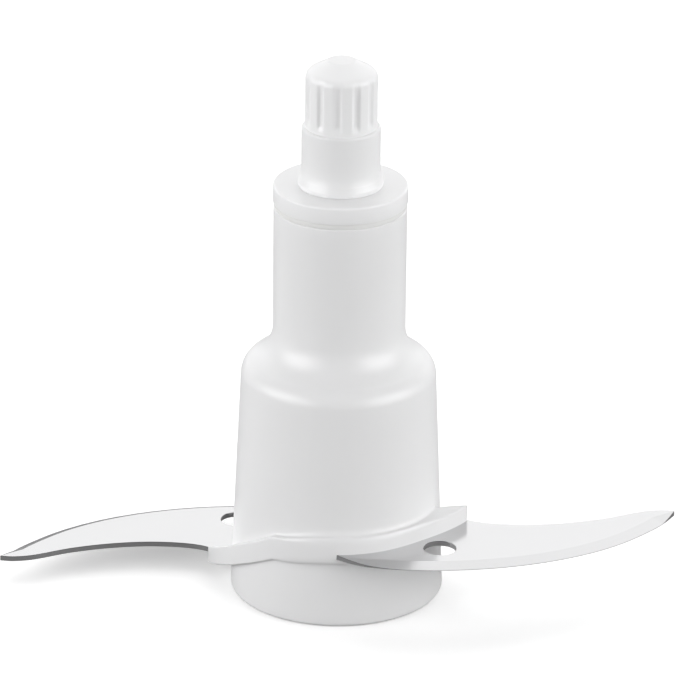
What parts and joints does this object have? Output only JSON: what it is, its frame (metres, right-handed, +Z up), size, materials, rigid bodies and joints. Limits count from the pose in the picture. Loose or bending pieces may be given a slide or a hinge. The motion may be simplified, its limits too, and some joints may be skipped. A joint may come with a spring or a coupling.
{
  "type": "food processor knife insert",
  "caption": "Chopping knife of a food processor: a tall hollow hub that turns on the bowl's centre pin, a splined drive tip, and curved steel blades at two heights.",
  "frame": {"origin": "centre of the hub's foot, where the axis of rotation meets the surface that the knife stands on", "axes": "+Z up the axis of rotation towards the splined tip, +X along the upper blade"},
  "size_m": [0.1272, 0.0498, 0.1056],
  "materials": {
    "white_plastic": "satin white moulded plastic",
    "inner_plastic": "plain moulded plastic",
    "bearing_plastic": "smooth acetal",
    "blade_steel": "fine polished stainless sheet",
    "plain_steel": "turned stainless",
    "seal_rubber": "white silicone"
  },
  "bodies": {
    "sleeve": {"pin_sleeve": "plain_steel"},
    "knife": {"hub_shell": "white_plastic", "upper_blade": "blade_steel", "lower_blade": "blade_steel", "collar_cap": "white_plastic", "collar_seal": "seal_rubber", "neck_sleeve": "white_plastic", "drive_tip": "white_plastic", "tip_pin": "plain_steel", "core_tube": "inner_plastic", "lower_bush": "bearing_plastic", "upper_bush": "bearing_plastic", "thrust_pad": "bearing_plastic", "bush_clip": "plain_steel", "base_cover": "inner_plastic", "blade_spacer": "inner_plastic", "clamp_ring": "inner_plastic"}
  },
  "joints": [
    {"name": "knife_spin", "type": "hinge", "parent": "sleeve", "child": "knife", "pos_m": [0, 0, 0.035], "axis": [0, 0, -1], "continuous": true}
  ]
}
